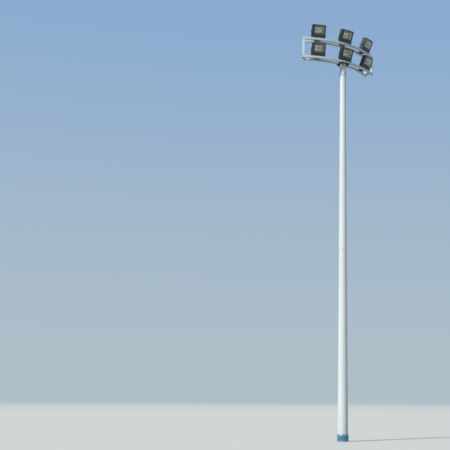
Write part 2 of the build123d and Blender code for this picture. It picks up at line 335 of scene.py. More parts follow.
@dataclass(frozen=True)
class BootBlue(Finish, name="boot_blue_paint", slot="boot_blue"):
    """Blue paint of the base boot, sun-bleached at its top, with scuffs and splashed dirt at its foot."""

    paint: Colour = (0.042, 0.19, 0.33)
    bleached: Colour = (0.09, 0.27, 0.41)
    scuff: Colour = (0.28, 0.40, 0.48)
    dirt: Colour = (0.34, 0.32, 0.28)

    def mix(self, recipe: Recipe) -> None:
        """Write the finish into a tree.

        Args:
            recipe: The empty tree.
        """
        height = recipe.along("Z", recipe.spot)
        brushed = recipe.noise(34.0, 3.0, (1, 1, 0.12))
        faded = height.between(0.14, 0.27) * 0.7 + brushed * 0.2
        scuffs = recipe.noise(30.0, 5.0, (0.5, 0.5, 2.2), 0.62).between(0.62, 0.7)
        splashed = height.between(0.11, 0.02) * recipe.noise(24.0, 4.0).between(0.35, 0.7)
        layers = ((faded, self.bleached), (scuffs * 0.45, self.scuff), (splashed * 0.6, self.dirt))
        roughness = 0.28 + brushed * 0.12 + scuffs * 0.14 + splashed * 0.25
        strokes = recipe.relief(brushed, 0.0008, 0.5)
        others = {"Normal": strokes, "Coat Weight": 0.9, "Coat Roughness": 0.3}
        recipe.surface(recipe.coats(self.paint, *layers), roughness, others)


@dataclass(frozen=True)
class SleeveGrey(Finish, name="sleeve_grey_paint", slot="sleeve_grey"):
    """Flat grey primer-like paint of the head sleeve, mottled, with runs below its bolts."""

    paint: Colour = (0.70, 0.79, 0.80)
    mottle: Colour = (0.62, 0.70, 0.705)
    run: Colour = (0.42, 0.46, 0.45)

    def mix(self, recipe: Recipe) -> None:
        """Write the finish into a tree.

        Args:
            recipe: The empty tree.
        """
        mottled = recipe.noise(16.0, 4.0)
        runs = recipe.noise(42.0, 2.0, (1, 1, 0.06)).between(0.56, 0.76)
        colour = recipe.coats(self.paint, (mottled.between(0.35, 0.7), self.mottle), (runs * 0.35, self.run))
        recipe.surface(colour, 0.55 + mottled * 0.15, {"Normal": recipe.grain(420.0, 2.0, 0.0004, 0.4)})


@dataclass(frozen=True)
class SaddleDark(Finish, name="saddle_dark_paint", slot="saddle_dark"):
    """Dark bitumen-like paint of the saddle and the plates, dusty on top."""

    paint: Colour = (0.035, 0.042, 0.043)
    worn: Colour = (0.085, 0.09, 0.088)
    dust: Colour = (0.21, 0.205, 0.19)

    def mix(self, recipe: Recipe) -> None:
        """Write the finish into a tree.

        Args:
            recipe: The empty tree.
        """
        patches = recipe.noise(14.0, 5.0, roughness=0.6)
        dusty = recipe.settled(22.0, 3.0)
        colour = recipe.coats(self.paint, (patches.between(0.5, 0.75), self.worn), (dusty * 0.6, self.dust))
        roughness = 0.52 + patches * 0.2 + dusty * 0.15
        recipe.surface(colour, roughness, {"Normal": recipe.grain(260.0, 2.0, 0.0005, 0.5)})


@dataclass(frozen=True)
class FramePaint(Finish, name="frame_pale_paint", slot="frame_paint"):
    """Pale grey satin paint of the head frame's tubes, with dust on top and water marks down the sides."""

    paint: Colour = (0.71, 0.80, 0.82)
    shade: Colour = (0.645, 0.735, 0.75)
    mark: Colour = (0.36, 0.38, 0.36)
    dust: Colour = (0.47, 0.46, 0.42)

    def mix(self, recipe: Recipe) -> None:
        """Write the finish into a tree.

        Args:
            recipe: The empty tree.
        """
        clouds = recipe.noise(3.0, 3.0)
        marks = recipe.noise(26.0, 3.0, (1, 1, 0.12)).between(0.56, 0.78)
        dusty = recipe.settled(12.0, 4.0)
        layers = ((clouds, self.shade), (marks * 0.28, self.mark), (dusty * 0.5, self.dust))
        roughness = 0.36 + clouds * 0.1 + marks * 0.12 + dusty * 0.2
        peel = recipe.grain(210.0, 1.0, 0.0006, 0.35)
        others = {"Normal": peel, "Coat Weight": 0.1, "Coat Roughness": 0.25}
        recipe.surface(recipe.coats(self.paint, *layers), roughness, others)


@dataclass(frozen=True)
class ZincCoat(Finish, name="galvanised_zinc", slot="galvanised_steel"):
    """Hot-dip galvanised steel: zinc crystals of differing brightness, with white bloom in places."""

    bright: Colour = (0.66, 0.68, 0.69)
    dull: Colour = (0.43, 0.45, 0.46)
    bloom: Colour = (0.70, 0.71, 0.69)
    crystals: float = 75.0

    def mix(self, recipe: Recipe) -> None:
        """Write the finish into a tree.

        Args:
            recipe: The empty tree.
        """
        spangle = recipe.along("X", recipe.cells(self.crystals, "F1", "Color"))
        bloomed = recipe.noise(19.0, 4.0).between(0.52, 0.72)
        shine = spangle * 0.75 + recipe.noise(7.0) * 0.25
        colour = recipe.coats(self.dull, (shine, self.bright), (bloomed * 0.55, self.bloom))
        others = {"Metallic": 0.85 - bloomed * 0.45, "Normal": recipe.relief(spangle, 0.0003, 0.3)}
        recipe.surface(colour, 0.34 + spangle * 0.14 + bloomed * 0.22, others)


@dataclass(frozen=True)
class CastBlack(Finish, name="lamp_black_coat", slot="lamp_black"):
    """Satin black powder coat on cast aluminium, with a fine orange peel and dust on what faces up."""

    coat: Colour = (0.022, 0.028, 0.032)
    bleached: Colour = (0.05, 0.058, 0.062)
    dust: Colour = (0.16, 0.155, 0.14)

    def mix(self, recipe: Recipe) -> None:
        """Write the finish into a tree.

        Args:
            recipe: The empty tree.
        """
        faded = recipe.noise(5.0, 4.0).between(0.38, 0.75)
        dusty = recipe.settled(18.0, 4.0, 0.25)
        colour = recipe.coats(self.coat, (faded, self.bleached), (dusty * 0.65, self.dust))
        others = {"Normal": recipe.grain(620.0, 2.0, 0.0003, 0.5), "Specular IOR Level": 0.6}
        recipe.surface(colour, 0.38 + faded * 0.1 + dusty * 0.25, others)


@dataclass(frozen=True)
class MirrorTray(Finish, name="reflector_hammered", slot="reflector_aluminium"):
    """Hammered, anodised aluminium of the reflectors, dulled by heat towards olive."""

    sheet: Colour = (0.77, 0.80, 0.71)
    dulled: Colour = (0.61, 0.62, 0.53)
    dimples: float = 130.0

    def mix(self, recipe: Recipe) -> None:
        """Write the finish into a tree.

        Args:
            recipe: The empty tree.
        """
        hammered = recipe.cells(self.dimples, "SMOOTH_F1", "Distance")
        heated = recipe.noise(8.0, 3.0).between(0.35, 0.75)
        others = {"Metallic": 0.97 - heated * 0.15, "Normal": recipe.relief(hammered, 0.0006, 0.35)}
        recipe.surface(recipe.coats(self.sheet, (heated, self.dulled)), 0.33 + heated * 0.12, others)


@dataclass(frozen=True)
class HazyGlass(Finish):
    """Glass with a cloudy haze. The clouds are its noise's scale and detail, and cover is what can't be seen
    through: that of clear places, and what the haze adds.
    """

    tint: Colour = (0.50, 0.54, 0.49)
    clouds: Point = (15.0, 5.0)
    roughness: float = 0.05
    cover: float = 0.07
    haze_cover: float = 0.12
    index: float = 1.52

    def mix(self, recipe: Recipe) -> None:
        """Write the finish into a tree.

        Args:
            recipe: The empty tree.
        """
        haze = recipe.noise(*self.clouds).between(0.3, 0.8)
        others = {"Alpha": self.cover + haze * self.haze_cover, "IOR": self.index}
        recipe.surface(self.tint, self.roughness + haze * 0.12, others)


@dataclass(frozen=True)
class WindowGlass(HazyGlass, name="window_glass", slot="clear_glass"):
    """Clear toughened glass of the windows, with a film of dust."""


@dataclass(frozen=True)
class BulbGlass(HazyGlass, name="bulb_outer_glass", slot="clear_glass"):
    """Outer glass of the discharge lamps, hazy in places."""

    tint: Colour = (0.80, 0.82, 0.78)
    clouds: Point = (30.0, 3.0)
    roughness: float = 0.08
    cover: float = 0.3
    haze_cover: float = 0.22
    index: float = 1.47


@dataclass(frozen=True)
class PatchyFinish(Finish):
    """A finish with worn patches.

    Clouds are the patches' noise scale and detail, and limits are where they begin and are full. Roughness is
    that of fresh places and what wear adds, metal is how metallic they are and what wear takes, and coat is a
    clear coat's weight and roughness.
    """

    fresh: Colour = (0.5, 0.5, 0.5)
    worn: Colour = (0.5, 0.5, 0.5)
    clouds: Point = (40.0, 3.0)
    limits: Point = (0.4, 0.8)
    roughness: Point = (0.5, 0.2)
    share: float = 1.0
    metal: Point | None = None
    grain: Grain | None = None
    coat: Point | None = None

    def mix(self, recipe: Recipe) -> None:
        """Write the finish into a tree.

        Args:
            recipe: The empty tree.
        """
        patches = recipe.noise(*self.clouds).between(*self.limits)
        others = {}
        if self.metal:
            others["Metallic"] = self.metal[0] - patches * self.metal[1]
        if self.grain:
            others["Normal"] = recipe.grain(*self.grain)
        if self.coat:
            others["Coat Weight"], others["Coat Roughness"] = self.coat
        colour = recipe.coats(self.fresh, (patches * self.share, self.worn))
        recipe.surface(colour, self.roughness[0] + patches * self.roughness[1], others)


@dataclass(frozen=True)
class MastSealant(PatchyFinish, name="joint_mastic", slot="mast_white"):
    """Grey-white mastic smoothed into the slip joint."""

    fresh: Colour = (0.62, 0.63, 0.62)
    worn: Colour = (0.40, 0.39, 0.36)
    clouds: Point = (28.0, 4.0)
    limits: Point = (0.35, 0.75)
    roughness: Point = (0.6, 0.2)
    grain: Grain = (130.0, 2.0, 0.0008, 0.5)


@dataclass(frozen=True)
class BlackPlastic(PatchyFinish, name="black_plastic_moulded", slot="black_plastic"):
    """Matt black plastic of the tube plugs and glands, chalky at its raised parts."""

    fresh: Colour = (0.025, 0.026, 0.027)
    worn: Colour = (0.085, 0.086, 0.085)
    clouds: Point = (38.0, 4.0)
    limits: Point = (0.4, 0.75)
    roughness: Point = (0.55, 0.2)
    grain: Grain = (800.0, 1.0, 0.0002, 0.4)


@dataclass(frozen=True)
class SealRubber(PatchyFinish, name="seal_rubber", slot="black_plastic"):
    """Black rubber and sealant, weathered to a dull grey bloom."""

    fresh: Colour = (0.03, 0.03, 0.031)
    worn: Colour = (0.10, 0.10, 0.098)
    clouds: Point = (55.0, 3.0)
    roughness: Point = (0.68, 0.2)
    grain: Grain = (340.0, 2.0, 0.0003, 0.4)


@dataclass(frozen=True)
class BoltZinc(PatchyFinish, name="bolt_zinc_plate", slot="galvanised_steel"):
    """Bright zinc-plated bolts, with a trace of white rust in their corners."""

    fresh: Colour = (0.62, 0.63, 0.62)
    worn: Colour = (0.72, 0.71, 0.68)
    clouds: Point = (120.0, 3.0)
    limits: Point = (0.5, 0.75)
    roughness: Point = (0.3, 0.3)
    metal: Point = (0.95, 0.6)
    grain: Grain = (700.0, 1.0, 0.0001, 0.3)


@dataclass(frozen=True)
class Porcelain(PatchyFinish, name="lampholder_porcelain", slot="reflector_aluminium"):
    """Glazed white porcelain of the lampholders, yellowed a little by heat."""

    fresh: Colour = (0.78, 0.76, 0.70)
    worn: Colour = (0.62, 0.55, 0.42)
    clouds: Point = (45.0, 3.0)
    limits: Point = (0.45, 0.8)
    roughness: Point = (0.22, 0.2)
    share: float = 0.7
    coat: Point = (0.4, 0.1)


@dataclass(frozen=True)
class ArcCeramic(PatchyFinish, name="arc_tube_ceramic", slot="reflector_aluminium"):
    """Milky ceramic of the arc tubes, darkened in places."""

    fresh: Colour = (0.82, 0.80, 0.74)
    worn: Colour = (0.30, 0.27, 0.24)
    clouds: Point = (140.0, 2.0)
    limits: Point = (0.55, 0.8)
    roughness: Point = (0.35, 0.2)


def column_matrix(origin: Vector, x_axis: Vector, z_axis: Vector) -> Matrix:
    """Return a placing matrix.

    Args:
        origin: Where the piece's own origin goes.
        x_axis: The direction of its X, square to its Z.
        z_axis: The direction of its Z.

    Returns:
        The matrix from the piece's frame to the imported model's.
    """
    across, out = x_axis.normalized(), z_axis.normalized()
    turn = Matrix((across, out.cross(across), out)).transposed()
    return Matrix.Translation(origin) @ turn.to_4x4()


def pointing(origin: Vector, direction: Vector) -> Matrix:
    """Return a placing matrix whose Z points in a level direction, with its X level too."""
    return column_matrix(origin, UP.cross(direction), direction)


def moved(place: Matrix, across: float, up: float, out: float) -> Matrix:
    """Return a placing matrix moved along its own axes."""
    return place @ Matrix.Translation((across, up, out))


def circle(sides: int) -> list[float]:
    """Return angles spaced evenly round a full turn."""
    return [2 * pi * i / sides for i in range(sides)]


def spoke(radius: float, angle: float, height: float = 0.0) -> Vector:
    """Return a point round the Z axis, at an angle in radians from +X."""
    return Vector((radius * cos(angle), radius * sin(angle), height))


def polar(radius: float, degrees: float, height: float = 0.0) -> Vector:
    """Return a point round the mast's axis, with 0 degrees at +X and 90 at the rear."""
    return spoke(radius, radians(degrees), height)


def rounded_rectangle(width: float, height: float, corner: float, steps: int) -> list[Point]:
    """Return the points of a rounded rectangle about the origin.

    Args:
        width: Its width.
        height: Its height.
        corner: Radius of its corners.
        steps: Straight runs in each corner.

    Returns:
        The points, anticlockwise.
    """
    outline = []
    for quarter, (x, y) in enumerate(rectangle(width - 2 * corner, height - 2 * corner)):
        for step in range(steps + 1):
            angle = radians(90 * quarter + 90 * step / steps)
            outline.append((x + corner * cos(angle), y + corner * sin(angle)))
    return outline


def rectangle(width: float, height: float) -> list[Point]:
    """Return the four corners of a rectangle about the origin, anticlockwise."""
    x, y = width / 2, height / 2
    return [(x, y), (-x, y), (-x, -y), (x, -y)]


def add_object(name: str, data: bpy.types.ID) -> bpy.types.Object:
    """Put new data into the scene.

    Args:
        name: The object's name.
        data: Its mesh, light or camera.

    Returns:
        The object.
    """
    made = bpy.data.objects.new(name, data)
    bpy.context.scene.collection.objects.link(made)
    return made


class Thread(Enum):
    """Metric bolts, as thread diameter, width across flats and head height."""

    M10 = (0.010, 0.017, 0.0064)
    M12 = (0.012, 0.019, 0.0075)
    M16 = (0.016, 0.024, 0.0100)

    def __init__(self, diameter: float, flats: float, head: float) -> None:
        """Name the three sizes."""
        self.diameter, self.flats, self.head = diameter, flats, head


class Workpiece:
    """A mesh in the making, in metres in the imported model's frame."""

    def __init__(self) -> None:
        """Start with no faces."""
        self.mesh = bmesh.new()

    def skin(self, rings: Iterable[Iterable[Vector]], around: bool = False) -> None:
        """Join equal rings of points with faces.

        Args:
            rings: Closed rings with the same number of points, in order.
            around: Join the last ring to the first one. Without it, a face closes each end.
        """
        made = [[self.mesh.verts.new(point) for point in ring] for ring in rings]
        followers = made[1:] + made[:1] if around else made[1:]
        for ring, after in zip(made, followers):
            for i in range(len(ring)):
                j = (i + 1) % len(ring)
                self.mesh.faces.new((ring[i], ring[j], after[j], after[i]))
        if not around:
            self.mesh.faces.new(reversed(made[0]))
            self.mesh.faces.new(made[-1])

    def lathe(self, place: Matrix, profile: Iterable[Point], sides: int = 24, around: bool = False) -> None:
        """Turn a profile of radii and heights about the placed Z axis, closed to a loop if it goes around."""
        self.skin(([place @ spoke(r, a, z) for a in circle(sides)] for r, z in profile), around)

    def collar(self, height: float, profile: Iterable[Point]) -> None:
        """Turn a closed profile round the mast at a height."""
        self.lathe(Matrix.Translation((0, 0, height)), profile, 96, around=True)

    def slab(self, place: Matrix, outline: Sequence[Point], thickness: float, edge: float = 0.0005) -> None:
        """Raise an outline into a slab with softened edges.

        Args:
            place: Where the outline's frame goes. The slab rises along its Z.
            outline: Its points about the frame's origin.
            thickness: Its thickness.
            edge: How far each edge is cut back.
        """
        inner = 1 - edge / max(math.hypot(x, y) for x, y in outline)
        levels = ((inner, 0), (1, edge), (1, thickness - edge), (inner, thickness))
        self.skin([place @ Vector((x * size, y * size, z)) for x, y in outline] for size, z in levels)

    def hexagon(self, place: Matrix, flats: float, height: float, sides: int = 24) -> None:
        """Make a bolt head or nut, with the turned chamfer that cuts its corners.

        Args:
            place: Where its seat goes. It rises along Z.
            flats: Width across its flats.
            height: Its height.
            sides: Points round it, a multiple of 12.
        """
        flat, side = flats / 2, pi / 3
        corner, chamfer, crown = flat / cos(side / 2), flat * 0.97, flat * 0.93
        rings = [[], [], []]
        for angle in circle(sides):
            reach = flat / cos((angle + side / 2) % side - side / 2)
            drop = (reach - chamfer) / (corner - chamfer) * height * 0.2
            for ring, radius, rise in zip(rings, (reach, reach, crown), (0, height - drop, height)):
                ring.append(place @ spoke(radius, angle, rise))
        self.skin(rings)

    def washer(self, place: Matrix, radius: float, thickness: float) -> None:
        """Make a round washer that rises along the placed Z.

        Args:
            place: Where its seat goes.
            radius: Its outer radius.
            thickness: Its thickness.
        """
        edge = thickness * 0.2
        profile = ((radius - edge, 0), (radius, edge), (radius, thickness - edge), (radius - edge, thickness))
        self.lathe(place, profile, 28)

    def screw_thread(self, place: Matrix, diameter: float, length: float) -> None:
        """Make a stretch of thread with a chamfered tip, rising along the placed Z.

        Args:
            place: Where it starts.
            diameter: Its outer diameter.
            length: How far it stands out.
        """
        outer, pitch = diameter / 2, diameter * 0.14
        turns = max(2, round(length / pitch))
        profile = []
        for turn in range(turns):
            profile += [(outer * 0.87, length * turn / turns), (outer, length * (turn + 0.5) / turns)]
        self.lathe(place, [*profile, (outer * 0.8, length)], 16)

    def bolt(self, place: Matrix, size: Thread, washer: float = 0.0025) -> None:
        """Make a hexagon bolt's head on a washer of this thickness, rising along the placed Z."""
        self.washer(place, size.diameter * 1.05, washer)
        self.hexagon(moved(place, 0, 0, washer), size.flats, size.head)

    def dome(self, place: Matrix, radius: float, height: float) -> None:
        """Make a domed screw head with a socket in its top, rising along the placed Z."""
        arc = [(radius * point.x, height * point.y) for point in (polar(1, turn) for turn in (0, 25, 45, 60))]
        self.lathe(place, [*arc, (radius * 0.34, height * 0.94), (radius * 0.3, height * 0.45)], 20)

    def bar(self, points: Sequence[Vector], radius: float) -> None:
        """Sweep a round bar along a line.

        Args:
            points: The line, with its bends already rounded.
            radius: The bar's radius.
        """
        rings = []
        upright = Vector((0.31, 0.47, 0.83))
        for i, point in enumerate(points):
            way = (points[min(i + 1, len(points) - 1)] - points[max(i - 1, 0)]).normalized()
            upright = (upright - way * upright.dot(way)).normalized()
            other = way.cross(upright)
            rings.append([point + (upright * cos(a) + other * sin(a)) * radius for a in circle(8)])
        self.skin(rings)

    def finish(self, name: str, coat: Finish, body: str = MAST, sharp: float = 35.0) -> None:
        """Turn the mesh into a piece that rides on a body.

        Args:
            name: The piece's name.
            coat: Its finish.
            body: The body that it moves with.
            sharp: Edges turned more than this, in degrees, stay sharp.
        """
        bmesh.ops.recalc_face_normals(self.mesh, faces=self.mesh.faces)
        data = bpy.data.meshes.new(name)
        self.mesh.to_mesh(data)
        self.mesh.free()
        data.polygons.foreach_set("use_smooth", [True] * len(data.polygons))
        data.set_sharp_from_angle(angle=radians(sharp))
        data.materials.append(coat.material())
        piece = add_object(name, data)
        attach(piece, body)
        log.info("%s on %s: %d faces", name, body, len(data.polygons))


@dataclass
class WeldSeam:
    """A hand-laid weld bead with its scalloped ripples."""

    size: float = 0.005
    ripple: float = 0.006
    depth: float = 0.1
    samples: int = 4
    sides: int = 7
    wobble: float = 0.04
    end_size: float = 0.35
    end_growth: float = 0.22
    height: float = 0.8
    chance: random.Random = field(default_factory=lambda: random.Random(7))

    def lay(
        self, work: Workpiece, corners: Sequence[Vector], outward: Sequence[Vector], closed: bool = False
    ) -> None:
        """Lay a bead along a line.

        Args:
            work: The workpiece that takes it.
            corners: The line's points.
            outward: The direction out of the joint at each point.
            closed: Whether the line comes back to its start.
        """
        points, ways = list(corners), list(outward)
        if closed:
            points.append(points[0])
            ways.append(ways[0])
        centres, outs = self._spread(points, ways)
        rings = []
        last = len(centres) - 1
        for i, (centre, out) in enumerate(zip(centres, outs)):
            before = centres[i - 1] if i else (centres[last - 1] if closed else centre)
            after = centres[i + 1] if i < last else (centres[1] if closed else centre)
            side = (after - before).normalized().cross(out).normalized()
            swell = 1 - self.depth * (i % self.samples) / self.samples
            swell += self.chance.uniform(-self.wobble, self.wobble)
            if not closed:
                swell *= min(1.0, self.end_size + self.end_growth * min(i, last - i))
            size, tall = self.size * swell, self.height
            turns = circle(self.sides)
            rings.append([centre + (side * cos(a) + out * sin(a) * tall) * size for a in turns])
        work.skin(rings[:-1] if closed else rings, around=closed)

    def straight(self, work: Workpiece, middle: Vector, half: Vector, way: Vector) -> None:
        """Lay a straight bead half a span to each side of its middle, facing out of its joint."""
        self.lay(work, (middle - half, middle + half), (way, way))

    def _spread(self, points: Sequence[Vector], ways: Sequence[Vector]) -> tuple[list[Vector], list[Vector]]:
        """Space points evenly along the line, several to a ripple.

        Args:
            points: The line's points.
            ways: The direction out of the joint at each.

        Returns:
            The spaced points and their directions.
        """
        lengths = [(b - a).length for a, b in zip(points, points[1:])]
        total = sum(lengths)
        count = max(6, round(total / self.ripple) * self.samples)
        centres, outs = [], []
        run, start = 0, 0.0
        for i in range(count + 1):
            travelled = total * i / count
            while run < len(lengths) - 1 and travelled > start + lengths[run]:
                start += lengths[run]
                run += 1
            share = (travelled - start) / lengths[run]
            centres.append(points[run].lerp(points[run + 1], share))
            outs.append(ways[run].lerp(ways[run + 1], share).normalized())
        return centres, outs


class Packed:
    """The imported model: its nodes, its joints and what is read from them."""

    def __init__(self) -> None:
        """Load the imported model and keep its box."""
        self.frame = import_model()
        self.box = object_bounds()

    def dress(self, coat: Finish, *nodes: str) -> None:
        """Give nodes their finish.

        Args:
            coat: The finish.
            nodes: The nodes' names.
        """
        for node in nodes:
            for slot in self.frame["nodes"][node].material_slots:
                slot.material = coat.material()
            log.info("%s: %s", node, coat.name)

    def top(self, node: str) -> float:
        """Return the height of a node's highest point."""
        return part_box(node)[1].z

    def foot(self, node: str) -> float:
        """Return the height of a node's lowest point."""
        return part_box(node)[0].z


@dataclass
class Assembly:
    """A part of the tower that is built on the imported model."""

    packed: Packed


@dataclass
class MastShaft(Assembly):
    """The two tapered sections, with their long seam welds and the sealed slip joint between them."""

    base_radius: float = 0.2025
    top_radius: float = 0.125
    height: float = 15.0
    skin_step: float = 0.0054
    lower_seam: float = 58.0
    upper_seam: float = 118.0
    seam_width: float = 0.006
    seam_height: float = 0.0012
    seam_steps: int = 240
    seam_rise: Point = (0.75, 1.15)
    seam_spread: Point = (0.9, 1.1)
    seam_flank: float = 0.7
    seal: float = 0.006
    seal_taper: float = 0.003
    seal_bevel: float = 0.7
    sunk: float = 0.001

    @property
    def taper(self) -> float:
        """Radius lost per metre of height."""
        return (self.base_radius - self.top_radius + self.skin_step) / self.height

    def lower_radius(self, height: float) -> float:
        """Return the lower section's outer radius at a height."""
        return self.base_radius - self.taper * height

    def upper_radius(self, height: float) -> float:
        """Return the upper section's outer radius at a height."""
        return self.lower_radius(height) + self.skin_step

    def build(self) -> None:
        """Dress both sections and add their seams and the joint's seal."""
        packed = self.packed
        packed.dress(MastWhite(), "mast_lower", "mast_upper")
        joint = packed.foot("mast_upper")
        self._seam("lower_seam_weld", self.lower_seam, packed.top("base_boot"), joint, self.lower_radius)
        self._seam("upper_seam_weld", self.upper_seam, joint, packed.foot("head_sleeve"), self.upper_radius)
        work = Workpiece()
        inner, outer = self.lower_radius(joint) - self.sunk, self.upper_radius(joint)
        foot, bevel = -self.seal, (outer - self.seal_taper, -self.seal * self.seal_bevel)
        profile = ((inner, foot), bevel, (outer, SUNK), (inner, SUNK))
        work.collar(joint, profile)
        work.finish("slip_joint_seal", MastSealant())

    def _seam(self, name: str, degrees: float, low: float, high: float, radius: Radius) -> None:
        """Run a ground seam weld up a section.

        Args:
            name: The piece's name.
            degrees: Where it is round the mast.
            low: Height of its foot.
            high: Height of its top.
            radius: Gives the section's outer radius at a height.
        """
        work = Workpiece()
        out = polar(1, degrees)
        side = out.cross(UP)
        chance = random.Random(round(degrees))
        rings = []
        for step in range(self.seam_steps + 1):
            height = low + (high - low) * step / self.seam_steps
            proud = self.seam_height * chance.uniform(*self.seam_rise)
            half = self.seam_width / 2 * chance.uniform(*self.seam_spread)
            middle = out * radius(height) + UP * height
            flank, shoulder, root = half * self.seam_flank, proud * self.seam_flank, -self.sunk
            section = ((-half, root), (-flank, shoulder), (0, proud), (flank, shoulder), (half, root))
            rings.append([middle + side * x + out * y for x, y in section])
        work.skin(rings)
        work.finish(name, MastWhite(), sharp=60)


@dataclass
class MastFoot(Assembly):
    """The base ring and the blue boot, with the straps that join the boot's halves and its collar seal."""

    shaft: MastShaft
    shoulder_drop: float = 0.04
    strap_width: float = 0.034
    strap_thickness: float = 0.0028
    strap_sunk: float = 0.0008
    strap_margin: float = 0.006
    screw_radius: float = 0.0045
    screw_height: float = 0.0027
    screw_rows: int = 4
    screw_inset: float = 0.016
    screw_offset: float = 0.29
    seal_size: float = 0.005

    def build(self) -> None:
        """Dress the ring and the boot and add the boot's fittings."""
        self.packed.dress(ZincCoat(), "base_ring")
        self.packed.dress(BootBlue(), "base_boot")
        low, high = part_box("base_boot")
        straps, screws, collar = Workpiece(), Workpiece(), Workpiece()
        foot = low.z + self.strap_margin
        length = high.z - self.shoulder_drop - self.strap_margin - foot
        for degrees in (0, 180):
            out = polar(1, degrees)
            place = pointing(out * (high.y - self.strap_sunk) + UP * (foot + length / 2), out)
            straps.slab(place, rectangle(self.strap_width, length), self.strap_thickness)
            for row in range(self.screw_rows):
                rise = (row / (self.screw_rows - 1) - 0.5) * (length - 2 * self.screw_inset)
                for side in (-1, 1):
                    across = side * self.strap_width * self.screw_offset
                    screw = moved(place, across, rise, self.strap_thickness)
                    screws.dome(screw, self.screw_radius, self.screw_height)
        straps.finish("boot_straps", BootBlue())
        screws.finish("boot_screws", BoltZinc())
        inner, size, foot = self.shaft.lower_radius(high.z) - SUNK, self.seal_size, -2 * SUNK
        profile = ((inner, foot), (inner + size, foot), (inner + size * 0.6, size * 0.6), (inner, size * 1.4))
        collar.collar(high.z, profile)
        collar.finish("boot_collar_seal", SealRubber())


@dataclass
class ServiceHatch(Assembly):
    """The service door's rubber edge and the triangular keys in its two locks."""

    shaft: MastShaft
    corner: float = 0.039
    corner_steps: int = 8
    seal_size: float = 0.0022
    seal_ripple: float = 0.02
    seal_run: float = 0.012
    seal_proud: float = 0.003
    lock_inset: float = 0.045
    lock_height: float = 0.0083
    lock_rim: Profile = ((0.009, -0.0005), (0.012, -0.0005), (0.0115, 0.001), (0.0095, 0.001))
    key_radius: float = 0.0065
    key_depth: float = 0.003
    key_edge: float = 0.0004

    def build(self) -> None:
        """Dress the door and add its edge and keys."""
        self.packed.dress(MastWhite(), "service_door")
        low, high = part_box("service_door")
        self._seal(low, high)
        keys = Workpiece()
        for lock in (low.z + self.lock_inset, high.z - self.lock_inset):
            place = pointing(Vector((0, self.shaft.lower_radius(lock) + self.lock_height, lock)), REAR)
            keys.lathe(place, self.lock_rim, 32, around=True)
            corners = (spoke(self.key_radius, pi / 2 + turn) for turn in circle(3))
            outline = [corner.xy for corner in corners]
            keys.slab(moved(place, 0, 0, -SUNK), outline, self.key_depth, self.key_edge)
        keys.finish("door_lock_keys", BoltZinc())

    def _seal(self, low: Vector, high: Vector) -> None:
        """Run the rubber edge round the door, on the mast's skin.

        Args:
            low: The lowest corner of the door's box.
            high: The highest corner of the door's box.
        """
        work = Workpiece()
        chance = random.Random(3)
        edge = WeldSeam(size=self.seal_size, ripple=self.seal_ripple, depth=0.0, sides=8, chance=chance)
        middle = (low.z + high.z) / 2
        wide, tall = high.x - low.x + self.seal_size, high.z - low.z + self.seal_size
        corners = [Vector(spot) for spot in rounded_rectangle(wide, tall, self.corner, self.corner_steps)]
        points, outs = [], []
        for start, end in zip(corners, corners[1:] + corners[:1]):
            runs = math.ceil((end - start).length / self.seal_run)
            for run in range(runs):
                x, z = start.lerp(end, run / runs)
                out = Vector((x, math.sqrt(self.shaft.lower_radius(middle + z) ** 2 - x * x), 0))
                points.append(out * (1 + self.seal_proud) + UP * (middle + z))
                outs.append(out.normalized())
        edge.lay(work, points, outs, closed=True)
        work.finish("door_edge_seal", SealRubber())


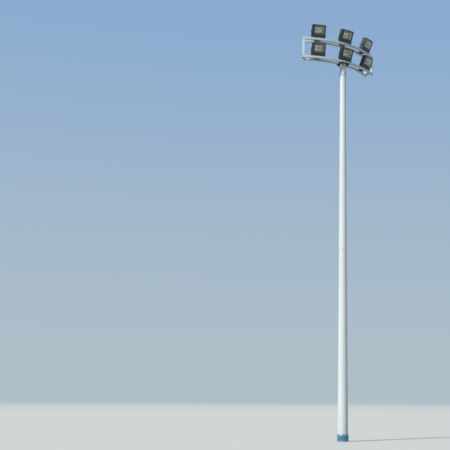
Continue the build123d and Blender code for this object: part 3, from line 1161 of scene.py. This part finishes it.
@dataclass
class HeadSleeve(Assembly):
    """The sleeve over the mast's top: set bolts in welded nuts, a closed cable grommet and a foot seal."""

    shaft: MastShaft
    bolt_heights: tuple[float, ...] = (0.06, 0.165)
    bolt_angles: tuple[float, ...] = (0.0, 120.0, 240.0)
    bolt: Thread = Thread.M16
    nut_height: float = 0.013
    lock_nut_height: float = 0.008
    bare_thread: float = 0.004
    exit_drop: float = 0.084
    exit_radius: float = 0.020
    exit_depth: float = 0.002
    seal_size: float = 0.005
    seal_lap: float = 0.0008
    nut_depth: float = 0.0006
    lip: Profile = ((0.97, -0.004), (0.97, 0.001), (1.22, 0.001), (1.25, 0.003), (1.12, 0.0055))
    ribs: Profile = ((0.8, 0.0062), (0.62, 0.0045), (0.42, 0.0058), (0.12, 0.0046))
    outer: float = field(init=False)
    foot: float = field(init=False)
    crown: float = field(init=False)

    def __post_init__(self) -> None:
        """Read the sleeve's outer radius and its two ends."""
        low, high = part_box("head_sleeve")
        self.outer, self.foot, self.crown = high.x, low.z, high.z

    def build(self) -> None:
        """Dress the sleeve and add its fittings."""
        self.packed.dress(SleeveGrey(), "head_sleeve")
        nuts, bolts, seal = Workpiece(), Workpiece(), Workpiece()
        for rise in self.bolt_heights:
            for degrees in self.bolt_angles:
                seat = polar(self.outer - self.nut_depth, degrees, self.foot + rise)
                place = pointing(seat, polar(1, degrees))
                nuts.hexagon(place, self.bolt.flats, self.nut_height)
                lock = moved(place, 0, 0, self.nut_height)
                bolts.hexagon(lock, self.bolt.flats, self.lock_nut_height)
                shank = moved(lock, 0, 0, self.lock_nut_height)
                bolts.screw_thread(shank, self.bolt.diameter, self.bare_thread)
                bolts.hexagon(moved(shank, 0, 0, self.bare_thread - SUNK), self.bolt.flats, self.bolt.head)
        nuts.finish("sleeve_weld_nuts", SleeveGrey())
        bolts.finish("sleeve_set_bolts", BoltZinc())
        self._grommet()
        inner, outer = self.shaft.upper_radius(self.foot) - SUNK, self.outer - 2 * SUNK
        size, top = self.seal_size, self.seal_lap
        profile = ((inner, top), (outer, top), (inner + size * 0.7, -size * 0.8), (inner, -size * 1.6))
        seal.collar(self.foot, profile)
        seal.finish("sleeve_foot_seal", SealRubber())

    def _grommet(self) -> None:
        """Close the cable exit with a ribbed rubber grommet."""
        work = Workpiece()
        place = pointing(Vector((0, self.outer - self.exit_depth, self.crown - self.exit_drop)), REAR)
        work.lathe(place, [(self.exit_radius * share, rise) for share, rise in self.lip + self.ribs], 40)
        work.finish("cable_exit_grommet", SealRubber())


@dataclass(frozen=True)
class FrameArc:
    """The head frame's arcs, read from the floodlights' joints."""

    centre: float
    front_radius: float
    tube_spread: float = 0.3
    tube: float = 0.08

    @classmethod
    def read(cls, joints: Sequence[dict]) -> "FrameArc":
        """Work the arcs out from a side floodlight's joint.

        Args:
            joints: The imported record's joints.

        Returns:
            The arcs.
        """
        joint = next(j for j in joints if j["name"] == "lower_right_tilt")
        x, y, _ = joint["pos_m"]
        radius = x / joint["axis"][1]
        return cls(centre=y + radius * joint["axis"][0], front_radius=radius)

    @property
    def middle_radius(self) -> float:
        """Radius midway between the front and the rear tubes."""
        return self.front_radius - self.tube_spread / 2

    @property
    def rear_radius(self) -> float:
        """Radius of the rear tubes."""
        return self.front_radius - self.tube_spread

    def point(self, radius: float, degrees: float, height: float) -> Vector:
        """Return a point on an arc of this radius, at an angle from the front."""
        angle = radians(degrees)
        return Vector((radius * sin(angle), self.centre - radius * cos(angle), height))

    def along(self, degrees: float) -> Vector:
        """Return the level direction along the arc."""
        return Vector((cos(radians(degrees)), sin(radians(degrees)), 0))

    def outward(self, degrees: float) -> Vector:
        """Return the level direction away from the arc's centre."""
        return Vector((sin(radians(degrees)), -cos(radians(degrees)), 0))


@dataclass
class Saddle(Assembly):
    """The saddle plate and its gussets, with their welds to the sleeve and to the lower tubes."""

    sleeve: HeadSleeve
    arc: FrameArc
    gusset_thickness: float = 0.012
    gusset_reach: float = 0.128
    turns: tuple[int, ...] = (45, 135, 225, 315)
    weld_end: float = 0.012
    gusset_bead: float = 0.006
    tube_bead: float = 0.007
    proud: float = 0.001
    rim_steps: int = 12
    tube_steps: int = 8

    def build(self) -> None:
        """Dress the saddle and lay its welds."""
        self.packed.dress(SaddleDark(), "saddle_plate", "saddle_gussets")
        work = Workpiece()
        bead = WeldSeam(size=self.gusset_bead)
        top, foot, radius = self.sleeve.crown, self.packed.foot("saddle_gussets"), self.sleeve.outer
        half = self.gusset_thickness / 2
        for turn in self.turns:
            out = polar(1, turn)
            for side in (out.cross(-UP), out.cross(UP)):
                root = out * (radius + self.proud) + side * half
                low, high = root + UP * (foot + self.weld_end), root + UP * (top - self.weld_end)
                bead.lay(work, (low, high), (out + side,) * 2)
                near = root + out * self.weld_end + UP * top
                far = near + out * (self.gusset_reach - 2 * self.weld_end)
                bead.lay(work, (near, far), (side - UP,) * 2)
            start = turn + math.degrees((half + self.weld_end / 2) / radius)
            sweep = [start + 2 * (turn + 45 - start) * i / self.rim_steps for i in range(self.rim_steps + 1)]
            rim = [polar(radius, angle, top) for angle in sweep]
            bead.lay(work, rim, [polar(1, angle) - UP for angle in sweep])
        work.finish("saddle_gusset_welds", SaddleDark())
        self._tube_welds()

    def _tube_welds(self) -> None:
        """Lay the welds between the saddle plate and the lower tubes."""
        work, bead, arc = Workpiece(), WeldSeam(size=self.tube_bead), self.arc
        seat = self.packed.top("saddle_plate") + 2 * self.proud
        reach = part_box("saddle_plate")[1].x - self.weld_end
        for radius in (arc.front_radius, arc.rear_radius):
            sweep = math.degrees(reach / radius)
            angles = [sweep * (i / self.tube_steps - 1) for i in range(2 * self.tube_steps + 1)]
            for side in (-1, 1):
                edge = radius + side * (arc.tube / 2 - 2 * self.proud)
                points = [arc.point(edge, angle, seat) for angle in angles]
                bead.lay(work, points, [arc.outward(angle) * side + UP for angle in angles])
        work.finish("saddle_tube_welds", FramePaint())


class Level(Enum):
    """The two levels of the head frame."""

    LOWER = "lower"
    UPPER = "upper"


class Place(Enum):
    """Where a floodlight stands on its level."""

    LEFT = "left"
    MIDDLE = "middle"
    RIGHT = "right"


@dataclass
class HeadFrame(Assembly):
    """The tubes, posts and plates of the head frame, with their welds, and the lamps' angles on the arc."""

    arc: FrameArc
    lamp_angles: Sequence[float]
    seat_width: float = 0.29
    flat: float = 0.056
    end_inset: float = 0.08
    seat_bead_rise: float = 0.0015
    post_bead_rise: float = 0.001

    def build(self) -> None:
        """Dress the frame and lay its welds."""
        packed = self.packed
        packed.dress(FramePaint(), "end_posts", "centre_post")
        packed.dress(SaddleDark(), "foot_plates")
        packed.dress(BlackPlastic(), "end_plugs")
        for level in (each.value for each in Level):
            packed.dress(FramePaint(), f"{level}_front_beam", f"{level}_rear_beam")
            packed.dress(SaddleDark(), f"{level}_seat_plates")
            work = Workpiece()
            for degrees in self.lamp_angles:
                self._seat_welds(work, degrees, packed.foot(f"{level}_seat_plates"))
            work.finish(f"{level}_seat_welds", FramePaint())
        self._post_welds()

    def _seat_welds(self, work: Workpiece, degrees: float, tube_top: float) -> None:
        """Lay the four beads that hold a seat plate on its tubes.

        Args:
            work: The workpiece that takes them.
            degrees: Where the seat stands on the arc.
            tube_top: Height of the tubes' tops.
        """
        bead, arc = WeldSeam(), self.arc
        centre = arc.point(arc.middle_radius, degrees, tube_top + self.seat_bead_rise)
        along, out = arc.along(degrees), arc.outward(degrees)
        for side in (-1, 1):
            edge = centre + along * (side * self.seat_width / 2)
            for tube in (-1, 1):
                middle = edge + out * (tube * arc.tube_spread / 2)
                bead.straight(work, middle, out * self.flat / 2, along * side + UP)

    def _post_welds(self) -> None:
        """Lay the beads at the posts' feet, where the upper tubes meet them and at the centre post's top."""
        work, bead, arc, packed = Workpiece(), WeldSeam(), self.arc, self.packed
        foot, upper_base = packed.top("foot_plates"), packed.top("end_posts") - arc.tube
        half = arc.tube / 2
        half_angle = math.degrees(math.asin(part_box("lower_front_beam")[1].x / (arc.front_radius + half)))
        for side in (-1, 1):
            angle = side * half_angle
            along, out = arc.along(angle) * side, arc.outward(angle)
            for radius in (arc.front_radius, arc.rear_radius):
                centre = arc.point(radius, angle, foot + self.post_bead_rise) - along * half
                for face in (-1, 1):
                    bead.straight(work, centre + out * (face * half), along * self.flat / 2, out * face + UP)
                inner = arc.point(radius, angle, upper_base) - along * self.end_inset
                bead.straight(work, inner, out * self.flat / 2, -UP - along)
        ends = ((packed.foot("centre_post"), UP), (packed.top("centre_post"), -UP))
        for across in (Vector((-1, 0, 0)), Vector((1, 0, 0))):
            for height, way in ends:
                middle = arc.point(arc.rear_radius, 0, height) + across * half
                bead.straight(work, middle, REAR * self.flat / 2, across + way)
        work.finish("post_welds", FramePaint())


@dataclass
class Floodlight(Assembly):
    """One floodlight: its finishes, seals, latches, bolts and the discharge lamp behind its glass.

    Plates are given as width, length and thickness, hexagons as width across flats and height, and turned
    shapes as the radius and height of each point.
    """

    level: Level
    place: Place
    tilt: float = 25.0
    half_height: float = 0.255
    wall: float = 0.249
    body_front: float = 0.124
    window: Point = (0.456, 0.342)
    window_rise: float = 0.041
    seal_width: float = 0.005
    seal_depth: float = 0.0045
    seal_corner: float = 0.004
    seal_section: Profile = ((0, 0), (0, 0.8), (0.35, 1), (0.85, 0.55), (1, 0))
    cover: Point = (0.062, 0.026)
    cover_depth: float = 0.112
    cover_tuck: float = 0.006
    cover_sheet: float = 0.0015
    cover_edge: float = 0.0006
    cover_screw: Point = (0.004, 0.002)
    screw_seat: float = 0.0014
    screw_spread: float = 0.42
    screw_inset: float = 0.35
    fold: Point = (0.0016, 0.03)
    stirrup_rise: float = 0.301222
    foot_bolt_spacing: float = 0.09
    foot_washer: float = 0.002
    pivot_reach: float = 0.3088
    pivot_thread: Point = (0.0152, 0.008)
    latch_offset: float = 0.15
    plate_edge: float = 0.0008
    latch_plate: Size = (0.026, 0.03, 0.003)
    latch_out: float = 0.066
    keeper_plate: Size = (0.022, 0.012, 0.0035)
    keeper_out: float = 0.106
    hinge_leaf: Size = (0.04, 0.02, 0.0025)
    hinge_offset: float = 0.03
    hinge_out: float = 0.096
    knuckles: tuple[float, ...] = (-0.013, 0, 0.013)
    pin_place: Point = (0.0075, 0.003)
    hinge_pin: Profile = ((0.003, 0), (0.0036, 0.0006), (0.0036, 0.0114), (0.003, 0.012))
    lever: Profile = ((-0.028, 0.004), (-0.012, 0.0075), (0.006, 0.0075), (0.018, 0.003))
    lever_wires: Point = (-0.009, 0.009)
    lever_out: float = 0.084
    lever_radius: float = 0.0014
    gland_offset: float = 0.15
    gland_nut: Point = (0.033, 0.007)
    gland_cap: Profile = ((0.0155, 0), (0.0155, 0.011), (0.0125, 0.017), (0.0085, 0.0185))
    gland_rib: float = 0.0008
    drain_washer: Point = (0.011, 0.0015)
    drain_plug: Point = (0.017, 0.006)
    lamp_depth: float = 0.045
    tray_rear: float = -0.0293
    holder_rear: Profile = ((0.020, -0.2), (0.026, -0.198), (0.026, -0.165))
    holder_front: Profile = ((0.029, -0.163), (0.029, -0.132), (0.0275, -0.128), (0.0225, -0.128))
    cap_thread: tuple[float, float, float, float] = (0.0195, 0.0012, -0.13, 0.0022)
    cap_rim: Profile = ((0.0215, -0.104), (0.0215, -0.098))
    bulb_neck: Profile = ((0.0205, -0.1), (0.0235, -0.09), (0.029, -0.078), (0.031, -0.066))
    bulb_radius: float = 0.031
    bulb_crown: float = 0.098
    bulb_turns: tuple[float, ...] = (0, 0.3, 0.6, 0.9, 1.15, 1.35, 1.5)
    arc_foot: Profile = ((0.003, -0.05), (0.004, -0.03), (0.0105, -0.022), (0.0125, 0.0))
    arc_top: Profile = ((0.0125, 0.03), (0.0105, 0.052), (0.004, 0.06), (0.003, 0.08))
    lead_radius: float = 0.0009
    lead_wire: Profile = ((0.014, -0.098), (0.017, -0.06), (0.017, 0.075), (0.008, 0.09), (0.0, 0.09))
    spring_radius: float = 0.0325
    spring_wire: float = 0.0013
    spring_place: float = 0.085
    spring_from: float = 240.0
    spring_sweep: float = 300.0
    spring_steps: int = 24
    leg_spread: float = 0.02
    face: Matrix = field(init=False)

    @property
    def name(self) -> str:
        """Start of the names of this floodlight's nodes."""
        return f"{self.level.value}_{self.place.value}"

    @property
    def body(self) -> str:
        """The body that tilts."""
        return f"{self.name}_floodlight"

    def __post_init__(self) -> None:
        """Find the frame of the floodlight's face, with its origin at the pivots and its Z to the front."""
        joint = next(j for j in self.packed.frame["joints"] if j["child"] == self.body)
        along, tilt = Vector(joint["axis"]).normalized(), radians(self.tilt)
        facing = Vector((along.y, -along.x, 0)) * cos(tilt) - UP * sin(tilt)
        self.face = column_matrix(Vector(joint["pos_m"]), along, facing)

    def build(self) -> None:
        """Dress the nodes and add the small pieces."""
        castings = (f"{self.name}_{node}" for node in ("stirrup", "housing", "bezel"))
        self.packed.dress(CastBlack(), *castings)
        self.packed.dress(WindowGlass(), f"{self.name}_glass")
        self.packed.dress(MirrorTray(), f"{self.name}_reflector")
        self._foot_bolts()
        self._pivot_tips()
        self._window_seal()
        self._wiring_cover()
        self._latches()
        self._glands()
        self._lamp()

    def at(self, across: float, up: float, out: float) -> Matrix:
        """Return the face's frame, moved along the tilt axis, up the face and out in front of it."""
        return moved(self.face, across, up, out)

    def on_wall(self, across: float, side: int, rise: float, out: float) -> Matrix:
        """Return a frame on the top (1) or bottom (-1) wall, with its Z out of the wall and Y to the back."""
        return self.at(across, side * rise, out) @ Matrix.Rotation(-side * RIGHT_ANGLE, 4, "X")

    def _fit(self, work: Workpiece, piece: str, coat: Finish, sharp: float = 35.0) -> None:
        """Finish a piece that tilts with the floodlight."""
        work.finish(f"{self.name}_{piece}", coat, self.body, sharp)

    def _foot_bolts(self) -> None:
        """Bolt the stirrup's foot down on its seat plate."""
        work = Workpiece()
        base = column_matrix(self.face.translation - UP * self.stirrup_rise, self.face.col[0].xyz, UP)
        work.bolt(base, Thread.M12)
        for side in (-1, 1):
            work.bolt(moved(base, side * self.foot_bolt_spacing, 0, 0), Thread.M10, self.foot_washer)
        work.finish(f"{self.name}_foot_bolts", BoltZinc())

    def _pivot_tips(self) -> None:
        """Let the pivots' threads stand out of their nuts."""
        work = Workpiece()
        for side in (-1, 1):
            turn = Matrix.Rotation(side * RIGHT_ANGLE, 4, "Y")
            work.screw_thread(self.at(side * self.pivot_reach, 0, 0) @ turn, *self.pivot_thread)
        self._fit(work, "pivot_threads", BoltZinc())

    def _window_seal(self) -> None:
        """Run the rubber seal round the window, between the front frame and the glass."""
        work = Workpiece()
        wide, high = self.window
        place = self.at(0, self.window_rise, self.body_front)
        rings = []
        for across, up in self.seal_section:
            inset, rise = across * self.seal_width, up * self.seal_depth
            corner = self.seal_corner + self.seal_width - inset
            outline = rounded_rectangle(wide - 2 * inset, high - 2 * inset, corner, 4)
            rings.append([place @ Vector((x, y, rise)) for x, y in outline])
        work.skin(rings, around=True)
        self._fit(work, "window_seal", SealRubber())

    def _wiring_cover(self) -> None:
        """Cover the wiring beside and below the reflector with folded black sheet, behind the glass."""
        work = Workpiece()
        wide, high = self.window
        side, sill = self.cover
        depth, tuck, sheet = self.cover_depth, self.cover_tuck, self.cover_sheet
        thick, back = self.fold
        left = self.at(side / 2 - wide / 2 - tuck, self.window_rise, depth)
        work.slab(left, rectangle(side + 2 * tuck, high + 2 * tuck), sheet, self.cover_edge)
        low = self.at(side / 2, self.window_rise + sill / 2 - high / 2 - tuck / 2, depth - 2 * sheet)
        work.slab(low, rectangle(wide - side, sill + tuck), sheet, self.cover_edge)
        fold = self.at(side - wide / 2 - thick / 2, self.window_rise, depth - back)
        work.slab(fold, rectangle(thick, high + 2 * tuck), back + SUNK, self.cover_edge / 2)
        for end in (-1, 0, 1):
            rise = self.window_rise + end * high * self.screw_spread
            screw = self.at(side * self.screw_inset - wide / 2, rise, depth + self.screw_seat)
            work.dome(screw, *self.cover_screw)
        self._fit(work, "wiring_cover", CastBlack())

    def _latches(self) -> None:
        """Clamp the front frame with two spring latches on top and two hinges below."""
        work = Workpiece()
        lever = [Vector((0, y, z)) for y, z in self.lever]
        for across in (-self.latch_offset, self.latch_offset):
            hinge = self.on_wall(across + self.hinge_offset, -1, self.half_height - 2 * SUNK, self.hinge_out)
            plates = (
                (self.on_wall(across, 1, self.wall, self.latch_out), self.latch_plate),
                (self.on_wall(across, 1, self.half_height, self.keeper_out), self.keeper_plate),
                (hinge, self.hinge_leaf),
            )
            for place, (width, length, thickness) in plates:
                work.slab(place, rectangle(width, length), thickness, self.plate_edge)
            for wire in self.lever_wires:
                place = self.on_wall(across + wire, 1, self.wall, self.lever_out)
                work.bar([place @ point for point in lever], self.lever_radius)
            for knuckle in self.knuckles:
                start = moved(hinge, knuckle - self.hinge_pin[-1][1] / 2, *self.pin_place)
                work.lathe(start @ Matrix.Rotation(RIGHT_ANGLE, 4, "Y"), self.hinge_pin, 16)
        self._fit(work, "latches", BoltZinc())

    def _glands(self) -> None:
        """Fit the cable gland's nuts and the drain plug on the bottom wall."""
        work = Workpiece()
        gland = self.on_wall(self.gland_offset, -1, self.wall, 0)
        work.hexagon(gland, *self.gland_nut)
        cap = moved(gland, 0, 0, self.gland_nut[1])
        turns = [(angle, self.gland_rib * (i % 4 > 1)) for i, angle in enumerate(circle(48))]
        profile = self.gland_cap
        work.skin([cap @ spoke(radius - groove, a, rise) for a, groove in turns] for radius, rise in profile)
        plug = self.on_wall(-self.gland_offset, -1, self.wall, 0)
        work.washer(plug, *self.drain_washer)
        work.hexagon(moved(plug, 0, 0, self.drain_washer[1]), *self.drain_plug)
        self._fit(work, "gland_nuts", BlackPlastic())

    def _lamp(self) -> None:
        """Fit the lampholder, the discharge lamp and its support in the reflector."""
        axis = self.at(0, self.window_rise, self.lamp_depth) @ Matrix.Rotation(RIGHT_ANGLE, 4, "Y")
        holder, cap, bulb, arc = Workpiece(), Workpiece(), Workpiece(), Workpiece()
        holder.lathe(axis, self.holder_rear + self.holder_front, 40)
        self._fit(holder, "lampholder", Porcelain())
        radius, groove, start, pitch = self.cap_thread
        shell = [(radius - groove * (step % 2), start + pitch * step) for step in range(11)]
        cap.lathe(axis, [*shell, *self.cap_rim], 32)
        self._support(cap)
        self._fit(cap, "lamp_cap", BoltZinc())
        dome = (spoke(self.bulb_radius, angle) for angle in self.bulb_turns)
        crown = [(point.x, self.bulb_crown + point.y) for point in dome]
        bulb.lathe(axis, [*self.bulb_neck, *crown], 40)
        self._fit(bulb, "lamp_bulb", BulbGlass(), 60)
        arc.lathe(axis, self.arc_foot + self.arc_top, 24)
        arc.bar([axis @ Vector((x, 0, z)) for x, z in self.lead_wire], self.lead_radius)
        self._fit(arc, "arc_tube", ArcCeramic())

    def _support(self, work: Workpiece) -> None:
        """Hold the lamp's far end with a spring ring on two legs from the reflector's floor.

        Args:
            work: The workpiece that takes it.
        """
        centre = self.at(self.spring_place, self.window_rise, self.lamp_depth)
        steps = self.spring_steps
        turns = (self.spring_from - self.spring_sweep * i / steps for i in range(steps + 1))
        ring = (polar(self.spring_radius, turn) for turn in turns)
        points = [centre @ Vector((0, spot.x, spot.y)) for spot in ring]
        work.bar(points, self.spring_wire)
        for end, lean in ((points[0], -self.leg_spread), (points[-1], self.leg_spread)):
            foot = self.at(self.spring_place, self.window_rise + lean, self.tray_rear).translation
            work.bar([end, end.lerp(foot, 0.5), foot], self.spring_wire)


@dataclass(frozen=True)
class Viewpoint:
    """Where the photograph was taken from, in metres, degrees and pixels of its square frame."""

    distance: float = 33.29
    azimuth: float = -35.57
    eye_height: float = 1.6
    pitch: float = 11.493
    focal_pixels: float = 850.8
    frame_pixels: float = 450.0
    centre_pixel: Point = (326.5, 225.6)
    mast_pixel: float = 343.69
    roll: float = 0.26
    sensor_width: float = 36.0

    def place(self) -> None:
        """Create the camera and make it the scene's."""
        data = bpy.data.cameras.new("photograph")
        data.sensor_width = self.sensor_width
        data.lens = self.focal_pixels / self.frame_pixels * self.sensor_width
        data.shift_x = 0.5 - self.centre_pixel[0] / self.frame_pixels
        data.shift_y = self.centre_pixel[1] / self.frame_pixels - 0.5
        data.clip_end = 2000
        camera = add_object("photograph", data)
        azimuth, pitch = radians(self.azimuth), radians(self.pitch)
        spot = Vector((sin(azimuth), -cos(azimuth), 0)) * self.distance
        turn = math.atan2(self.mast_pixel - self.centre_pixel[0], self.focal_pixels / cos(pitch))
        level = Matrix.Rotation(turn, 3, "Z") @ -spot.normalized()
        forward = level * cos(pitch) + UP * sin(pitch)
        right = Matrix.Rotation(radians(-self.roll), 3, forward) @ forward.cross(UP)
        camera.matrix_world = column_matrix(spot + UP * self.eye_height, right, -forward)
        bpy.context.scene.camera = camera
        log.info("camera: lens %.1f mm, shift %.3f", data.lens, data.shift_x)


@dataclass(frozen=True)
class DistantLight:
    """A light far away. Its azimuth is 0 at the front and 90 at +X, and its angles are in degrees."""

    name: str
    azimuth: float
    elevation: float
    strength: float
    softness: float
    colour: Colour

    def hang(self) -> None:
        """Add the light to the scene."""
        data = bpy.data.lights.new(self.name, "SUN")
        data.energy, data.color, data.angle = self.strength, self.colour, radians(self.softness)
        azimuth, elevation = radians(self.azimuth), radians(self.elevation)
        level = Vector((sin(azimuth), -cos(azimuth), 0))
        towards = level * cos(elevation) + UP * sin(elevation)
        add_object(self.name, data).rotation_euler = towards.to_track_quat("Z", "Y").to_euler()


@dataclass(frozen=True)
class Studio:
    """A plain pale floor, one soft key light, a faint fill and an even sky."""

    key: DistantLight = DistantLight("key_light", -82.0, 39.0, 3.2, 7.0, (1.0, 0.985, 0.955))
    fill: DistantLight = DistantLight("fill_light", 135.0, 25.0, 0.9, 50.0, (0.9, 0.95, 1.0))
    floor_radius: float = 320.0
    fade_from: float = 40.0
    floor_seen: Colour = (0.60, 0.60, 0.575)
    floor_lighting: Colour = (0.22, 0.22, 0.215)
    sky_lighting: Colour = (0.30, 0.365, 0.43)
    sky_span: Point = (-0.02, 0.55)
    sky_high: Colour = (0.235, 0.395, 0.64)
    sky_low: Colour = (0.43, 0.52, 0.58)

    def build(self) -> None:
        """Set the stage and light it."""
        self._floor()
        self._world()
        self.key.hang()
        self.fill.hang()
        bpy.context.scene.view_settings.view_transform = "Standard"

    @staticmethod
    def _seen(recipe: Recipe) -> Value:
        """Return 1 for rays from the camera, from gloss and through glass, and else 0."""
        path = recipe.node("ShaderNodeLightPath", output="Is Camera Ray")
        return path.most(path.other("Is Glossy Ray")).most(path.other("Is Transmission Ray"))

    def _floor(self) -> None:
        """Lay a round floor that fades out far away."""
        work = bmesh.new()
        bmesh.ops.create_circle(work, cap_ends=True, radius=self.floor_radius, segments=128)
        data = bpy.data.meshes.new("studio_floor")
        work.to_mesh(data)
        work.free()
        floor = add_object("studio_floor", data)
        material = bpy.data.materials.new("studio_floor_paint")
        material.use_nodes = True
        recipe = Recipe(material.node_tree)
        colour = recipe.coats(self.floor_lighting, (self._seen(recipe), self.floor_seen))
        paint = recipe.node("ShaderNodeBsdfDiffuse", {}, {"Color": colour})
        gone = recipe.node("ShaderNodeBsdfTransparent")
        away = recipe.node("ShaderNodeVectorMath", {"operation": "LENGTH"}, {0: recipe.spot}, "Value")
        faded = away.between(self.fade_from, self.floor_radius)
        shader = recipe.node("ShaderNodeMixShader", {}, {0: faded, 1: paint, 2: gone})
        recipe.node("ShaderNodeOutputMaterial", {}, {"Surface": shader})
        data.materials.append(material)
        floor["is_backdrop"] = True

    def _world(self) -> None:
        """Light evenly from the sky, and show a plain pale gradient behind the object."""
        world = bpy.data.worlds.new("studio_sky")
        bpy.context.scene.world = world
        world.use_nodes = True
        recipe = Recipe(world.node_tree)
        way = recipe.node("ShaderNodeTexCoord", output="Generated")
        height = recipe.along("Z", way).between(*self.sky_span)
        backdrop = recipe.coats(self.sky_low, (height, self.sky_high))
        colour = recipe.coats(self.sky_lighting, (self._seen(recipe), backdrop))
        sky = recipe.node("ShaderNodeBackground", {}, {"Color": colour, "Strength": 1.0})
        recipe.node("ShaderNodeOutputWorld", {}, {"Surface": sky})


def main() -> None:
    """Build the tower's looks, its stage and its camera."""
    logging.basicConfig(level=logging.INFO, format="%(name)s: %(message)s")
    packed = Packed()
    Viewpoint().place()
    Studio().build()
    joints = packed.frame["joints"]
    shaft = MastShaft(packed)
    sleeve = HeadSleeve(packed, shaft)
    arc = FrameArc.read(joints)
    angles = sorted({round(math.degrees(math.asin(joint["axis"][1])), 4) for joint in joints})
    lamps = [Floodlight(packed, level, place) for level in Level for place in Place]
    mast = [shaft, MastFoot(packed, shaft), ServiceHatch(packed, shaft), sleeve]
    for assembly in [*mast, Saddle(packed, sleeve, arc), HeadFrame(packed, arc, angles), *lamps]:
        assembly.build()


if __name__ == "__main__":
    main()
